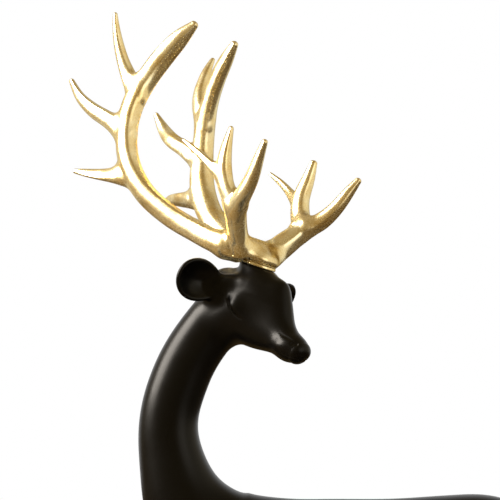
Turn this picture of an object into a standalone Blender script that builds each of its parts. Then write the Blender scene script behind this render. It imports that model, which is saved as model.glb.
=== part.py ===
"""Reindeer figurine: one black casting, one gold antler casting, one low oval base.

World frame in metres: +X towards the tail, -Y towards the viewer, +Z up, origin in the
middle of the underside of the base. The head looks back over the left side, so the
head and the antlers are built in a frame of their own (to the right, ahead, up) and are then
turned into place.
"""

import math

import bmesh
import bpy
import numpy as np
from mathutils import Matrix, Vector

MM = 0.001

# Gap left between touching castings
GAP = 0.3 * MM

# Low oval base
BASE_LENGTH = 312.0 * MM
BASE_WIDTH = 134.0 * MM
BASE_THICK = 12.0 * MM
BASE_EDGE = 3.0 * MM
BASE_STEPS = 48

# Level of the hooves, and how far the right and left foot of a pair stand apart lengthways
SOLE_LEVEL = BASE_THICK + GAP
FORE_STRIDE = 22.0 * MM
HIND_STRIDE = 18.0 * MM

# Place and turn of the head frame, whose origin is the middle of the antler saddle
HEAD_PLACE = (-65.2 * MM, -11.3 * MM, 429.4 * MM)
HEAD_YAW = math.radians(-39.3)
HEAD_ROLL = math.radians(7.45)

# Crown boss and the foot of the antlers, measured in the head frame
SEAT_LEVEL = -6.2 * MM
SEAT_RADIUS = 13.2 * MM
BOSS_HEIGHT = 14.0 * MM
BOSS_FLARE = 0.8 * MM
FOOT_HEIGHT = 5.0 * MM
FOOT_RADIUS = SEAT_RADIUS + 0.6 * MM

# Breadth that the softening takes from an antler, given back beforehand
SOFTENING_LOSS = 0.35

# Sides and rings of the lofts before the pieces are cast together
TRUNK_SIDES = 32
TRUNK_RINGS = 60
SKULL_SIDES = 28
SKULL_RINGS = 26
LEG_SIDES = 20
LEG_RINGS = 40
TAIL_RINGS = 12
EAR_RINGS = 16
EAR_ARC = 12
ANTLER_SIDES = 16
DISC_SIDES = 32

# Section shape: two is an oval, more is squarer
TRUNK_POWER = 2.1
SKULL_POWER = 2.35
OVAL = 2.0

# End domes as a share of the end's half width, and the angles of their rings
LIMB_DOME = 0.8
SKULL_DOME = 0.75
HOOF_DOME = 0.3
DOME_TURNS = (25.0, 50.0, 72.0)

# Turn of the antler's oval section from the sideways axis
SECTION_TWIST = math.radians(45.0)

# Reach of the cutting bodies beyond what they cut
CROWN_REACH = 40.0 * MM
SEAT_REACH = 60.0 * MM
FLOOR_REACH = 400.0 * MM

# Rounds of softening, grain of the joined castings and their triangle counts
DEER_ROUNDS = 7
ANTLER_ROUNDS = 3
DEER_GRAIN = 2.2 * MM
ANTLER_GRAIN = 1.25 * MM
DEER_TRIANGLES = 4600
ANTLER_TRIANGLES = 4200

# Neck and trunk along the middle plane: ahead/back, height, half width, half depth
TRUNK = (
    (-82.0, 406.0, 16.0, 18.0),
    (-93.5, 387.5, 19.6, 21.2),
    (-107.0, 370.5, 20.4, 21.4),
    (-119.0, 351.5, 20.6, 21.6),
    (-125.5, 335.5, 20.8, 22.0),
    (-131.0, 318.5, 20.8, 21.8),
    (-133.0, 301.5, 21.0, 22.2),
    (-129.5, 277.0, 23.0, 24.6),
    (-118.5, 245.0, 27.6, 32.2),
    (-92.0, 218.0, 31.0, 40.2),
    (-49.0, 212.0, 31.0, 38.4),
    (-4.0, 213.5, 30.0, 36.4),
    (41.0, 216.5, 28.0, 33.6),
    (79.0, 219.5, 28.4, 33.0),
    (109.0, 219.0, 29.0, 33.6),
    (130.0, 214.0, 24.0, 27.6),
    (142.0, 208.0, 14.0, 16.0),
)

# Legs from the trunk down: ahead/back, out from the middle, height, half across, half along
FORE_LEG = (
    (-90.0, 14.0, 214.0, 15.0, 27.0),
    (-90.0, 16.0, 186.0, 13.6, 20.0),
    (-93.0, 17.0, 160.0, 9.0, 11.6),
    (-94.0, 17.0, 130.0, 7.2, 8.4),
    (-94.0, 17.5, 108.0, 6.8, 7.4),
    (-93.5, 17.5, 98.0, 7.2, 8.0),
    (-94.5, 17.5, 87.0, 5.6, 6.0),
    (-96.5, 17.5, 58.0, 5.2, 5.6),
    (-96.5, 18.0, 36.5, 6.4, 6.8),
    (-99.5, 18.0, 26.0, 5.6, 5.8),
    (-102.0, 18.0, 20.0, 7.0, 7.6),
    (-105.0, 18.0, 11.0, 8.4, 9.8),
)
HIND_LEG = (
    (104.0, 12.0, 218.0, 18.0, 33.0),
    (99.0, 14.5, 184.0, 16.4, 28.0),
    (108.0, 16.5, 148.0, 10.4, 16.0),
    (121.0, 17.0, 122.0, 7.8, 9.6),
    (130.5, 17.0, 104.0, 7.4, 8.8),
    (129.0, 17.5, 91.0, 6.4, 7.0),
    (124.5, 17.5, 62.0, 5.8, 6.0),
    (121.5, 18.0, 38.0, 6.8, 7.2),
    (117.0, 18.0, 26.0, 6.0, 6.2),
    (114.5, 18.0, 19.5, 7.2, 7.8),
    (111.0, 18.0, 11.0, 8.4, 9.8),
)
TAIL = (
    (130.0, 234.0, 9.0, 8.0),
    (143.0, 228.0, 8.4, 6.4),
    (152.0, 214.0, 7.6, 5.6),
    (156.0, 199.0, 5.0, 4.2),
    (156.5, 188.0, 2.2, 2.0),
)

# Head in its own frame: ahead, up, half width, height above, depth below
HEAD = (
    (-35.0, -17.5, 9.0, 8.0, 9.0),
    (-28.0, -22.0, 15.6, 15.0, 19.0),
    (-16.0, -29.0, 19.6, 22.4, 29.6),
    (-5.0, -36.5, 21.8, 29.2, 29.6),
    (4.0, -42.5, 22.2, 29.2, 26.6),
    (12.5, -48.5, 20.6, 25.2, 23.0),
    (22.5, -55.0, 16.4, 16.2, 18.2),
    (30.0, -60.0, 13.6, 10.4, 14.8),
    (37.0, -65.0, 12.0, 9.2, 14.0),
    (42.5, -68.5, 11.2, 9.0, 12.6),
    (46.0, -71.0, 9.8, 7.8, 10.2),
)

# Ears: to the right, ahead, up, half breadth, share of the hollow
NEAR_EAR = (
    (13.0, -11.0, -26.0, 9.6, 0.0),
    (24.0, -16.5, -25.0, 12.0, 0.25),
    (36.0, -20.5, -24.0, 14.0, 0.9),
    (47.0, -23.0, -22.5, 13.8, 1.0),
    (54.5, -24.5, -22.0, 10.8, 0.8),
    (58.0, -25.0, -21.5, 6.4, 0.4),
)
NEAR_EAR_FACING = (0.25, 0.92, -0.29)
FAR_EAR = (
    (-14.0, -12.0, -27.5, 9.6, 0.0),
    (-24.0, -13.0, -26.0, 10.4, 0.25),
    (-36.0, -12.0, -24.0, 11.6, 0.9),
    (-48.0, -10.5, -22.5, 11.0, 1.0),
    (-56.0, -9.5, -21.0, 8.4, 0.8),
    (-59.5, -9.0, -20.5, 5.0, 0.4),
)
FAR_EAR_FACING = (-0.1, 0.95, -0.3)
EAR_DEPTH = 8.0
EAR_WALL = 3.4
EAR_FULLNESS = 1.1
EAR_RIM = 0.7
EAR_LIP = 0.35

# One antler: to the right, ahead, up, half breadth seen from inside, half breadth from outside
SADDLE = (
    (0.0, -1.5, 5.5, 8.0, 8.0),
    (9.0, -2.5, 4.5, 9.0, 9.0),
    (17.0, -6.0, 3.5, 10.0, 10.0),
    (22.0, -14.0, 5.0, 10.0, 9.4),
)
BEAM = (
    (17.0, -6.0, 2.5, 10.2, 10.2),
    (22.5, -16.0, 6.0, 9.8, 9.0),
    (28.0, -41.0, 18.0, 9.2, 8.4),
    (33.5, -65.0, 31.0, 10.0, 8.0),
    (40.0, -89.5, 51.5, 10.4, 8.0),
    (44.0, -103.0, 74.5, 10.0, 8.0),
    (45.5, -107.0, 100.5, 8.8, 8.0),
    (43.0, -105.0, 123.0, 8.2, 8.4),
    (38.0, -98.5, 142.0, 7.2, 8.2),
    (32.0, -85.5, 164.0, 6.4, 8.0),
    (28.0, -73.5, 178.0, 5.2, 6.4),
    (25.0, -64.5, 187.0, 2.8, 3.0),
)
BROW_STEM = (
    (16.0, -2.0, 0.0, 9.6, 8.8),
    (20.5, -2.0, 6.5, 9.6, 7.4),
    (27.0, 0.5, 14.5, 9.2, 7.2),
    (37.0, 6.0, 25.0, 8.0, 7.6),
    (41.0, 9.0, 31.5, 7.6, 7.4),
)
FRONT_TINE = (
    (39.5, 6.5, 29.0, 7.6, 7.4),
    (46.5, 19.0, 35.5, 6.8, 6.0),
    (51.0, 30.0, 46.0, 5.4, 4.8),
    (55.5, 39.5, 61.0, 4.0, 3.2),
    (58.5, 46.0, 70.5, 2.0, 1.4),
)
TALL_TINE = (
    (40.5, 9.0, 31.0, 7.8, 7.4),
    (44.0, 3.0, 40.0, 7.4, 6.0),
    (47.0, -0.5, 56.5, 6.4, 5.6),
    (50.0, 2.5, 71.0, 5.0, 4.0),
    (51.0, 6.5, 86.0, 2.6, 1.6),
)
SMALL_TINE = (
    (45.5, 0.5, 49.0, 4.0, 3.8),
    (47.5, -5.5, 55.5, 4.8, 4.6),
    (49.5, -12.5, 62.0, 3.4, 3.2),
    (52.0, -25.0, 72.5, 2.4, 2.4),
    (53.0, -38.5, 82.0, 1.2, 0.8),
)
LOW_TINE = (
    (42.0, -95.0, 62.0, 6.6, 6.0),
    (43.5, -108.0, 63.5, 7.4, 8.6),
    (44.5, -119.0, 64.5, 5.4, 7.2),
    (46.0, -132.5, 66.0, 3.4, 5.8),
    (50.5, -145.0, 67.5, 2.4, 3.8),
    (54.5, -152.5, 68.5, 1.4, 1.6),
)
BACK_TINE = (
    (45.0, -104.5, 93.0, 6.6, 5.6),
    (45.5, -115.0, 102.0, 9.0, 8.0),
    (46.0, -127.5, 110.0, 7.6, 6.4),
    (47.5, -146.0, 120.5, 6.8, 5.4),
    (50.5, -158.5, 131.0, 5.4, 3.8),
    (51.0, -173.0, 148.5, 1.6, 1.4),
)
HIGH_TINE = (
    (41.5, -102.5, 124.0, 5.6, 5.6),
    (41.5, -107.5, 134.0, 7.2, 7.4),
    (42.5, -112.5, 143.5, 6.0, 6.2),
    (46.5, -118.0, 157.5, 5.0, 4.6),
    (51.5, -120.0, 171.0, 4.2, 3.6),
    (56.5, -120.0, 184.0, 3.2, 2.4),
    (60.5, -118.5, 194.5, 1.4, 1.2),
)


def clear_scene():
    """Take away every object that the start-up file brings."""
    for obj in list(bpy.data.objects):
        bpy.data.objects.remove(obj, do_unlink=True)


def make_collections():
    """Give the collection of the parts and the hidden one of the cutters."""
    parts = bpy.data.collections.new("reindeer_figurine")
    cutters = bpy.data.collections.new("cutters")
    bpy.context.scene.collection.children.link(parts)
    bpy.context.scene.collection.children.link(cutters)
    return parts, cutters


def make_material(name, colour, metallic, roughness):
    """Give a plain Principled material."""
    material = bpy.data.materials.new(name)
    material.use_nodes = True
    shader = material.node_tree.nodes["Principled BSDF"]
    shader.inputs["Base Color"].default_value = (*colour, 1.0)
    shader.inputs["Metallic"].default_value = metallic
    shader.inputs["Roughness"].default_value = roughness
    return material


def head_matrix():
    """Give the turn and place of the head frame: to the right, ahead, up."""
    ahead = Vector((math.cos(HEAD_YAW), math.sin(HEAD_YAW), 0.0))
    level = Vector((math.sin(HEAD_YAW), -math.cos(HEAD_YAW), 0.0))
    upright = Vector((0.0, 0.0, 1.0))
    right = level * math.cos(HEAD_ROLL) + upright * math.sin(HEAD_ROLL)
    up = upright * math.cos(HEAD_ROLL) - level * math.sin(HEAD_ROLL)
    turn = Matrix((right, ahead, up)).transposed().to_4x4()
    return Matrix.Translation(HEAD_PLACE) @ turn


def smooth_rows(stations, count):
    """Pass a smooth curve through the station rows and give evenly spaced rows."""
    rows = np.array(stations, dtype=float)
    gaps = np.linalg.norm(np.diff(rows[:, :3], axis=0), axis=1)
    reach = np.concatenate(([0.0], np.cumsum(gaps)))
    slopes = np.gradient(rows, reach, axis=0)
    at = np.linspace(0.0, reach[-1], count)
    index = np.clip(np.searchsorted(reach, at, side="right") - 1, 0, len(gaps) - 1)
    length = gaps[index]
    share = (at - reach[index]) / length
    share = share[:, None]
    length = length[:, None]
    start_weight = 2 * share**3 - 3 * share**2 + 1
    end_weight = 3 * share**2 - 2 * share**3
    start_slope = (share**3 - 2 * share**2 + share) * length
    end_slope = (share**3 - share**2) * length
    value = start_weight * rows[index] + end_weight * rows[index + 1]
    return value + start_slope * slopes[index] + end_slope * slopes[index + 1]


def ring_frame(path, side):
    """Give for each path point the tangent, the side axis and the third axis."""
    tangent = np.gradient(path, axis=0)
    tangent /= np.linalg.norm(tangent, axis=1)[:, None]
    across = np.array(side, dtype=float)[None] - tangent * (tangent @ np.array(side))[:, None]
    across /= np.linalg.norm(across, axis=1)[:, None]
    third = np.cross(tangent, across)
    return tangent, across, third


def closed_loft(name, rings):
    """Skin rings of equal length into one closed mesh with a fan at each end."""
    count, sides, _ = rings.shape
    points = list(rings.reshape(-1, 3))
    points.append(rings[0].mean(axis=0))
    points.append(rings[-1].mean(axis=0))
    faces = []
    for ring in range(count - 1):
        for side in range(sides):
            following = (side + 1) % sides
            low = ring * sides
            high = low + sides
            faces.append((low + side, low + following, high + following, high + side))
    first = count * sides
    last = first + 1
    top = (count - 1) * sides
    for side in range(sides):
        following = (side + 1) % sides
        faces.append((first, following, side))
        faces.append((last, top + side, top + following))
    mesh = bpy.data.meshes.new(name)
    mesh.from_pydata([tuple(point) for point in points], [], faces)
    mesh.update()
    shape = bmesh.new()
    shape.from_mesh(mesh)
    bmesh.ops.recalc_face_normals(shape, faces=shape.faces)
    if shape.calc_volume(signed=True) < 0.0:
        bmesh.ops.reverse_faces(shape, faces=shape.faces)
    shape.to_mesh(mesh)
    shape.free()
    return mesh


def domed_path(path, tangent, widths, share):
    """Add shrinking rings at both ends so that a limb ends in a dome."""
    turns = np.radians(np.array(DOME_TURNS))
    first = path[0] - tangent[0] * widths[0].mean() * share * np.sin(turns[::-1])[:, None]
    last = path[-1] + tangent[-1] * widths[-1].mean() * share * np.sin(turns)[:, None]
    first_widths = widths[0] * np.cos(turns[::-1])[:, None]
    last_widths = widths[-1] * np.cos(turns)[:, None]
    return np.vstack((first, path, last)), np.vstack((first_widths, widths, last_widths))


def section(sides, power):
    """Give the cosine and sine of an oval section, squared up by the power."""
    angle = np.linspace(0.0, 2.0 * math.pi, sides, endpoint=False)
    cosine = np.sign(np.cos(angle)) * np.abs(np.cos(angle)) ** (2.0 / power)
    sine = np.sign(np.sin(angle)) * np.abs(np.sin(angle)) ** (2.0 / power)
    return cosine, sine


def limb(name, stations, side, steps, sides=LEG_SIDES, twist=0.0, power=OVAL, dome=LIMB_DOME, extra=0.0):
    """Loft an oval limb: rows hold the place and the half widths across and along."""
    rows = smooth_rows(stations, steps)
    path = rows[:, :3]
    widths = rows[:, 3:5] + extra
    tangent, _, _ = ring_frame(path, side)
    path, widths = domed_path(path, tangent, widths, dome)
    _, across, third = ring_frame(path, side)
    turn = math.cos(twist) * across + math.sin(twist) * third
    other = math.cos(twist) * third - math.sin(twist) * across
    cosine, sine = section(sides, power)
    rings = path[:, None] + turn[:, None] * (widths[:, :1] * cosine)[:, :, None]
    rings = rings + other[:, None] * (widths[:, 1:] * sine)[:, :, None]
    return closed_loft(name, rings * MM)


def skull(name):
    """Loft the head along its axis: fuller above for the forehead, narrower below."""
    stations = [(0.0, ahead, up, half, above, below) for ahead, up, half, above, below in HEAD]
    rows = smooth_rows(stations, SKULL_RINGS)
    path = rows[:, :3]
    widths = rows[:, 3:6]
    tangent, _, _ = ring_frame(path, (1.0, 0.0, 0.0))
    path, widths = domed_path(path, tangent, widths, SKULL_DOME)
    _, across, third = ring_frame(path, (1.0, 0.0, 0.0))
    third = third * np.sign(third[:, 2:3])
    cosine, sine = section(SKULL_SIDES, OVAL)
    full_cosine, full_sine = section(SKULL_SIDES, SKULL_POWER)
    above = sine > 0.0
    cosine = np.where(above, full_cosine, cosine)
    sine = np.where(above, full_sine, sine)
    height = np.where(above[None], widths[:, 1:2], widths[:, 2:3]) * sine[None]
    rings = path[:, None] + across[:, None] * (widths[:, :1] * cosine)[:, :, None]
    rings = rings + third[:, None] * height[:, :, None]
    return closed_loft(name, rings * MM)


def ear(name, stations, front):
    """Loft a spoon-shaped ear: a bowed outer wall and a hollow facing forwards."""
    rows = smooth_rows(stations, EAR_RINGS)
    path = rows[:, :3]
    breadth = rows[:, 3]
    sunk = np.clip(rows[:, 4], 0.0, 1.0)
    _, facing, third = ring_frame(path, front)
    outer = np.linspace(0.0, math.pi, EAR_ARC)
    inner = outer[::-1]
    bowl = EAR_DEPTH * np.minimum(breadth / breadth.max() * EAR_FULLNESS, 1.0)
    hollow = (bowl - EAR_WALL) * sunk
    inside = breadth - EAR_WALL * EAR_RIM
    outer_across = breadth[:, None] * np.cos(outer)
    outer_deep = -bowl[:, None] * np.sin(outer)
    inner_across = inside[:, None] * np.cos(inner)
    inner_deep = -hollow[:, None] * np.sin(inner) + EAR_WALL * EAR_LIP
    across = np.hstack((outer_across, inner_across))
    deep = np.hstack((outer_deep, inner_deep))
    rings = path[:, None] + third[:, None] * across[:, :, None] + facing[:, None] * deep[:, :, None]
    return closed_loft(name, rings * MM)


def turned_disc(name, outline, steps):
    """Turn an outline of radius and height pairs into a closed round body."""
    angle = np.linspace(0.0, 2.0 * math.pi, steps, endpoint=False)
    rings = []
    for radius, level in outline:
        ring = np.stack((radius * np.cos(angle), radius * np.sin(angle), np.full(steps, level)), axis=1)
        rings.append(ring)
    return closed_loft(name, np.array(rings))


def world_object(name, mesh, collection, matrix=None):
    """Link a mesh as an object, with its place written into the mesh."""
    if matrix is not None:
        mesh.transform(matrix)
    obj = bpy.data.objects.new(name, mesh)
    collection.objects.link(obj)
    return obj


def joined(name, meshes, collection):
    """Put several closed meshes into one object."""
    shape = bmesh.new()
    for mesh in meshes:
        shape.from_mesh(mesh)
        bpy.data.meshes.remove(mesh)
    mesh = bpy.data.meshes.new(name)
    shape.to_mesh(mesh)
    shape.free()
    return world_object(name, mesh, collection)


def settle(obj):
    """Write the modifiers of an object into its mesh."""
    graph = bpy.context.evaluated_depsgraph_get()
    graph.update()
    mesh = bpy.data.meshes.new_from_object(obj.evaluated_get(graph))
    old = obj.data
    obj.modifiers.clear()
    obj.data = mesh
    bpy.data.meshes.remove(old)


def cast(obj, grain, rounds, triangles):
    """Melt joined limbs into one skin, soften the joints and thin out the facets."""
    melt = obj.modifiers.new("melt", "REMESH")
    melt.mode = "VOXEL"
    melt.voxel_size = grain
    settle(obj)
    soften = obj.modifiers.new("soften", "SMOOTH")
    soften.factor = 0.5
    soften.iterations = rounds
    settle(obj)
    count = sum(len(face.vertices) - 2 for face in obj.data.polygons)
    thin = obj.modifiers.new("thin", "DECIMATE")
    thin.ratio = triangles / count
    settle(obj)


def trim(obj, cutter):
    """Cut a body away from an object."""
    cutter.hide_render = True
    cutter.display_type = "WIRE"
    cut = obj.modifiers.new("trim", "BOOLEAN")
    cut.operation = "DIFFERENCE"
    cut.solver = "EXACT"
    cut.object = cutter
    settle(obj)


def middle_rows(stations):
    """Turn rows on the middle plane into rows with a place across."""
    return [(along, 0.0, height, half, deep) for along, height, half, deep in stations]


def leg_rows(stations, hand, stride):
    """Place a leg on one side, with its lower part set forward or back by the stride."""
    top = stations[0][2]
    sole = stations[-1][2]
    rows = []
    for along, out, height, half, deep in stations:
        share = (top - height) / (top - sole)
        rows.append((along + stride / MM * share, hand * out, height, half, deep))
    return rows


def make_deer(parts, cutters, place):
    """Make the black casting: trunk, legs, tail, head, ears and crown boss."""
    side = (0.0, 1.0, 0.0)
    meshes = [limb("trunk", middle_rows(TRUNK), side, TRUNK_RINGS, sides=TRUNK_SIDES, power=TRUNK_POWER)]
    for hand in (-1.0, 1.0):
        fore = leg_rows(FORE_LEG, hand, hand * FORE_STRIDE / 2)
        hind = leg_rows(HIND_LEG, hand, hand * HIND_STRIDE / 2)
        meshes.append(limb("fore_leg", fore, side, LEG_RINGS, dome=HOOF_DOME))
        meshes.append(limb("hind_leg", hind, side, LEG_RINGS, dome=HOOF_DOME))
    meshes.append(limb("tail", middle_rows(TAIL), side, TAIL_RINGS))
    head_meshes = [skull("skull"), ear("near_ear", NEAR_EAR, NEAR_EAR_FACING)]
    head_meshes.append(ear("far_ear", FAR_EAR, FAR_EAR_FACING))
    bottom = SEAT_LEVEL - BOSS_HEIGHT
    outline = ((SEAT_RADIUS + BOSS_FLARE, bottom), (SEAT_RADIUS, SEAT_LEVEL + GAP))
    head_meshes.append(turned_disc("boss", outline, DISC_SIDES))
    for mesh in head_meshes:
        mesh.transform(place)
    deer = joined("deer", meshes + head_meshes, parts)
    cast(deer, DEER_GRAIN, DEER_ROUNDS, DEER_TRIANGLES)
    above = ((CROWN_REACH, SEAT_LEVEL - GAP), (CROWN_REACH, SEAT_LEVEL + CROWN_REACH))
    slab = turned_disc("crown_cutter", above, DISC_SIDES)
    trim(deer, world_object("crown_cutter", slab, cutters, place))
    below = ((FLOOR_REACH, -FLOOR_REACH), (FLOOR_REACH, SOLE_LEVEL))
    floor = turned_disc("sole_cutter", below, DISC_SIDES)
    trim(deer, world_object("sole_cutter", floor, cutters))
    return deer


def make_antlers(parts, cutters, place):
    """Make the gold casting: two mirrored antlers on one saddle with a round foot."""
    meshes = []
    limbs = (
        ("saddle", SADDLE, 10),
        ("beam", BEAM, 60),
        ("brow_stem", BROW_STEM, 14),
        ("front_tine", FRONT_TINE, 20),
        ("tall_tine", TALL_TINE, 20),
        ("small_tine", SMALL_TINE, 16),
        ("low_tine", LOW_TINE, 20),
        ("back_tine", BACK_TINE, 22),
        ("high_tine", HIGH_TINE, 22),
    )
    for name, stations, steps in limbs:
        axis = (0.0, 0.0, 1.0) if name == "saddle" else (1.0, 0.0, 0.0)
        turn = 0.0 if name == "saddle" else SECTION_TWIST
        mesh = limb(name, stations, axis, steps, sides=ANTLER_SIDES, twist=turn, extra=SOFTENING_LOSS)
        meshes.append(mesh)
    mirrored = []
    for mesh in meshes:
        twin = mesh.copy()
        twin.transform(Matrix.Diagonal((-1.0, 1.0, 1.0, 1.0)))
        twin.flip_normals()
        mirrored.append(twin)
    foot_outline = ((FOOT_RADIUS, SEAT_LEVEL - GAP), (FOOT_RADIUS, SEAT_LEVEL + FOOT_HEIGHT))
    foot = turned_disc("foot", foot_outline, DISC_SIDES)
    antlers = joined("antlers", meshes + mirrored + [foot], parts)
    cast(antlers, ANTLER_GRAIN, ANTLER_ROUNDS, ANTLER_TRIANGLES)
    antlers.data.transform(place)
    below = ((SEAT_REACH, SEAT_LEVEL - SEAT_REACH), (SEAT_REACH, SEAT_LEVEL))
    slab = turned_disc("seat_cutter", below, DISC_SIDES)
    trim(antlers, world_object("seat_cutter", slab, cutters, place))
    return antlers


def make_base(parts):
    """Make the low oval base with a softened upper edge."""
    radius = BASE_LENGTH / 2
    outline = (
        (radius - BASE_EDGE / 2, 0.0),
        (radius, BASE_EDGE / 2),
        (radius, BASE_THICK - BASE_EDGE),
        (radius - BASE_EDGE, BASE_THICK),
    )
    mesh = turned_disc("base", outline, BASE_STEPS)
    squeeze = BASE_WIDTH / BASE_LENGTH
    return world_object("base", mesh, parts, Matrix.Diagonal((1.0, squeeze, 1.0, 1.0)))


def main():
    """Build the three pieces and give them their materials."""
    clear_scene()
    parts, cutters = make_collections()
    place = head_matrix()
    black = make_material("black_satin", (0.012, 0.012, 0.013), 0.0, 0.35)
    gold = make_material("pale_gold", (0.78, 0.62, 0.32), 1.0, 0.3)
    plinth = make_material("black_base", (0.014, 0.014, 0.015), 0.0, 0.4)
    deer = make_deer(parts, cutters, place)
    antlers = make_antlers(parts, cutters, place)
    base = make_base(parts)
    for obj, material in ((deer, black), (antlers, gold), (base, plinth)):
        obj.data.materials.clear()
        obj.data.materials.append(material)


main()
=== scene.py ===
"""Reindeer figurine: satin black deer on a low oval base, with one pale gold antler casting.

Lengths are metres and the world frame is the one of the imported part: +X towards the tail,
-Y towards the viewer, +Z up. Tables of stations are in millimetres. The head and the
antlers are described in a frame of their own: to the right, ahead, up.
"""

import math

import bmesh
import bpy
import numpy as np
from bpy.props import FloatProperty, FloatVectorProperty, IntProperty, PointerProperty
from bpy.types import Operator, Panel, PropertyGroup
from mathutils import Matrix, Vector


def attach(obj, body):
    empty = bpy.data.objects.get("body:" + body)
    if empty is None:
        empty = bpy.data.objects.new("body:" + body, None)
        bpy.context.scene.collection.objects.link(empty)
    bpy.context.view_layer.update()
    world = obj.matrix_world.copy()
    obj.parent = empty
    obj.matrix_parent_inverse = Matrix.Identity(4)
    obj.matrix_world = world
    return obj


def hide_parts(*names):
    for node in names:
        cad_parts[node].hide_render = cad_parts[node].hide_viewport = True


bl_info = {
    "name": "Reindeer figurine",
    "version": (1, 0, 0),
    "blender": (4, 5, 0),
    "location": "3D View > Sidebar > Reindeer",
    "description": "Builds a black reindeer figurine with gold antlers on an oval base",
    "category": "Add Mesh",
}

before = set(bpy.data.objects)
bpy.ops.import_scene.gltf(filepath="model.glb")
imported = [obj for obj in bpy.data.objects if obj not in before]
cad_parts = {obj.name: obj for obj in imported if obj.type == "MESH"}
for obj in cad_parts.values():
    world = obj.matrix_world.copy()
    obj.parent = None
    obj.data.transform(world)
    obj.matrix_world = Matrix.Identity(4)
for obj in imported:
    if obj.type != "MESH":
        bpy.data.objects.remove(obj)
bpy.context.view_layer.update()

MM = 0.001

# Reach of a limb's field past its box, the value given beyond it, and points handled at a time
LIMB_REACH = 22.0
FAR_AWAY = 60.0
CHUNK = 20000

# Camera: the picture is square, and the focal length is given in its pixels
PICTURE_PIXELS = 500
FOCAL_PIXELS = 1350.0
SENSOR_WIDTH = 36.0
CAMERA_PLACE = (-0.07125, -1.0205, 0.3472)
CAMERA_PITCH = math.radians(5.0)

# Soft lights with their height by their width, the colours of the surroundings with the levels
# between which they change behind and at the side, and the number of corners of the round floor
KEY_PLACE = (-1.285, -0.258, 1.147)
KEY_TARGET = (-0.07, 0.0, 0.4)
KEY_COLOUR = (1.0, 0.93, 0.84)
FILL_PLACE = (1.2, -1.2, 0.5)
FILL_COLOUR = (1.0, 0.96, 0.9)
LIGHT_TALLER = 1.3
FRONT_COLOUR = (1.0, 0.68, 0.24)
SIDE_COLOUR = (1.0, 0.87, 0.63)
BEHIND_STEP = (0.35, 0.85)
SIDE_STEP = (0.4, 0.9)
FLOOR_SIDES = 96

# Drift of the roughness below and above its mean, and the gold's reflection where it turns away
BLACK_DRIFT = 0.03
GOLD_DRIFT = (0.05, 0.06)
GOLD_EDGES = (0.3, 0.2, 0.07)

# Insets of the base's lower edge as shares of the upper edge's radius, and steps of the upper one
LOWER_EDGE = (0.5, 0.15, 0.0)
EDGE_STEPS = 9

# Widths over which neighbouring limbs melt together, in millimetres
LEG_BLEND = 16.0
TAIL_BLEND = 7.0
NECK_BLEND = 12.0
EAR_BLEND = 5.0
STALK_BLEND = 4.0
BOSS_BLEND = 8.0
HUB_BLEND = 6.0

# Rounding of the edges where a form is cut, in millimetres
SOLE_EDGE = 0.8
SEAT_EDGE = 1.2
BOSS_EDGE = 2.0
COLLAR_EDGE = 1.2
PLUG_EDGE = 1.0

# Antlers. A web between limbs lies within its thickness of the antler's own sheet and begins a
# depth before a tine's root, and has its least share elsewhere. The first limbs with a web and
# with a root are counted from the beam. A pull holds the sheet upright, and the mirror's softness
# rounds the fold between the two antlers
WEB_THICKNESS = 8.5
WEB_LEAST = 0.22
ROOT_DEPTH = 8.0
ROOT_LEAST = 0.05
FIRST_WEB = 2
FIRST_ROOT = 4
SHEET_PULL = 0.12
MIRROR_SOFTNESS = 0.6
ANTLER_SWELL = 0.5

# The net about the head is made finer by stretching the space round this place before it is cast
LENS_PLACE = (-66.0, -12.0, 392.0)
LENS_REACH = 70.0
LENS_FACTOR = 2.15
LENS_END = 250.0

# Offset in millimetres for measuring a field's slope: about carving, on the body, on the antlers
SLOPE_STEP = 0.25
BODY_STEP = 2.0
ANTLER_STEP = 0.8

# Distances from the lens place, heights and distances from the seam over which the offset grows
BODY_FADE = (60.0, 90.0)
HOOF_FADE = (34.0, 54.0)
SEAM_FADE = (4.0, 8.0)

# Where the nets are made finer: below a height, about eye and ear, ahead of and below a place on
# the nose, and about the seam's level. The collar's skin and finer area reach past it by the
# excess
HOOF_AREA = 30.0
EYE_AREA = 13.5
EAR_AREA = 22.0
NOSE_AREA = (30.0, -50.0)
SEAM_LEVEL = 2.5
EXCESS = 1.0

# Newton steps: offset for the slope, least squared slope and longest step in millimetres
PROBE = 0.05
LEAST_SLOPE = 0.05
LONGEST_STEP = 1.6

# Rounds of relaxing and sliding after the melting and in a finer area, slides at the end, and the
# share of the way that a point relaxes
MELT_ROUNDS = 4
AREA_ROUNDS = 2
LAST_SLIDES = 2
RELAX_SHARE = 0.5

# Lid over the closed eye
LID_HEIGHT = 2.0
LID_RADII = (9.0, 6.0, 7.0)
LID_EDGE = 0.2
LID_SLOPE = 3.4
LID_REACH = 16.0

# Carved lines: depth, width, shares of the line over which it fades in and out, and the share of
# the sideways distance that counts
LASH_CUT = (0.7, 0.8, 0.3, 0.35, 0.3)
NASAL_CUT = (0.9, 1.0, 0.35, 0.2)
NOSTRIL_CUT = (1.3, 1.5, 0.3, 0.3)
MOUTH_CUT = (0.4, 0.7, 0.4, 0.3)
STEM_CUT = (1.4, 1.5, 0.35, 0.2, 0.3)

# Middle and half size of the box in the head frame that holds all the carving
FACE_MIDDLE = (0.0, 12.0, -48.0)
FACE_REACH = 52.0

# Hooves: level of the groove round the top, depth of it and of the cleft, width of both, how far
# ahead of the leg's end and below the groove the cleft grows, and the reach round each leg
HOOF_TOP = 25.0
HOOF_GROOVE = 0.5
CLEFT_DEPTH = 1.3
HOOF_LINE = 0.9
CLEFT_FRONT = (1.0, 4.0)
CLEFT_FALL = (0.5, 3.0)
HOOF_REACH = 15.0
HOOF_LEVEL = 32.0

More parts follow.
